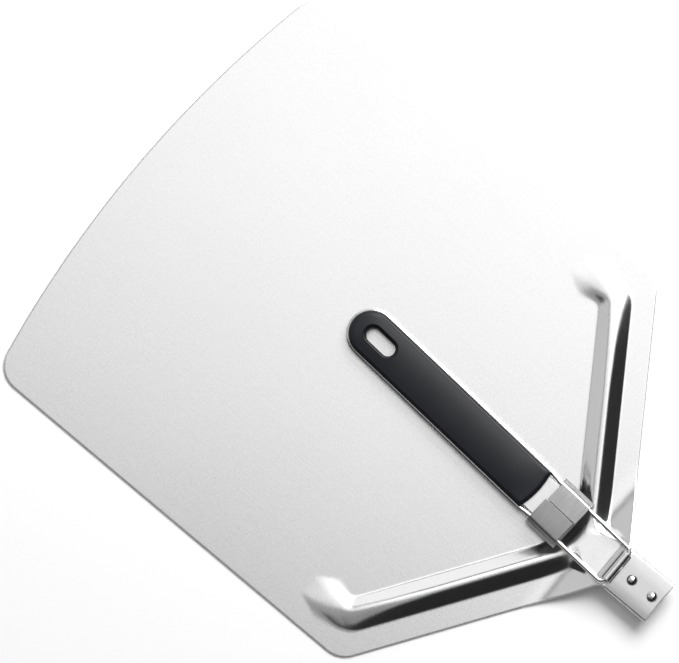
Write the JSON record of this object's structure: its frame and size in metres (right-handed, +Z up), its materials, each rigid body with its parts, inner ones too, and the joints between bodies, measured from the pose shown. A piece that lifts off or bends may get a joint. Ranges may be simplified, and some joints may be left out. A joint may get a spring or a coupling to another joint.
{
  "type": "folding pizza peel",
  "caption": "Folding steel pizza peel: flat blade with pressed beads, riveted hinge bracket, and a wire handle with a moulded grip that folds over the blade and locks with a sliding collar.",
  "frame": {"origin": "under the middle of the folded peel, on the plane that the blade lies on", "axes": "+X along the peel from the blade's curved front edge to the hinge bracket, +Z up"},
  "size_m": [0.419, 0.305, 0.0219],
  "materials": {
    "blade_steel": "brushed",
    "bracket_steel": "satin",
    "rivet_steel": "polished",
    "wire_steel": "polished",
    "core_steel": "satin",
    "collar_steel": "brushed",
    "screw_steel": "zinc plated",
    "grip_black": "soft touch, fine texture"
  },
  "bodies": {
    "blade_body": {"blade": "blade_steel", "hinge_bracket": "bracket_steel", "rivet_front": "rivet_steel", "rivet_rear": "rivet_steel"},
    "handle_body": {"wire_frame": "wire_steel", "core_plate": "core_steel", "grip_front_shell": "grip_black", "grip_back_shell": "grip_black", "grip_screw_near": "screw_steel", "grip_screw_far": "screw_steel"},
    "collar_body": {"locking_collar": "collar_steel"}
  },
  "joints": [
    {"name": "handle_fold", "type": "hinge", "parent": "blade_body", "child": "handle_body", "pos_m": [0.1748, 0, 0.01555], "axis": [0.0332, 0.9995, 0], "range_deg": [0, 181.95]},
    {"name": "collar_slide", "type": "slide", "parent": "handle_body", "child": "collar_body", "axis": [0.9972, -0.0663, 0.034], "range_m": [0, 0.0321]}
  ]
}
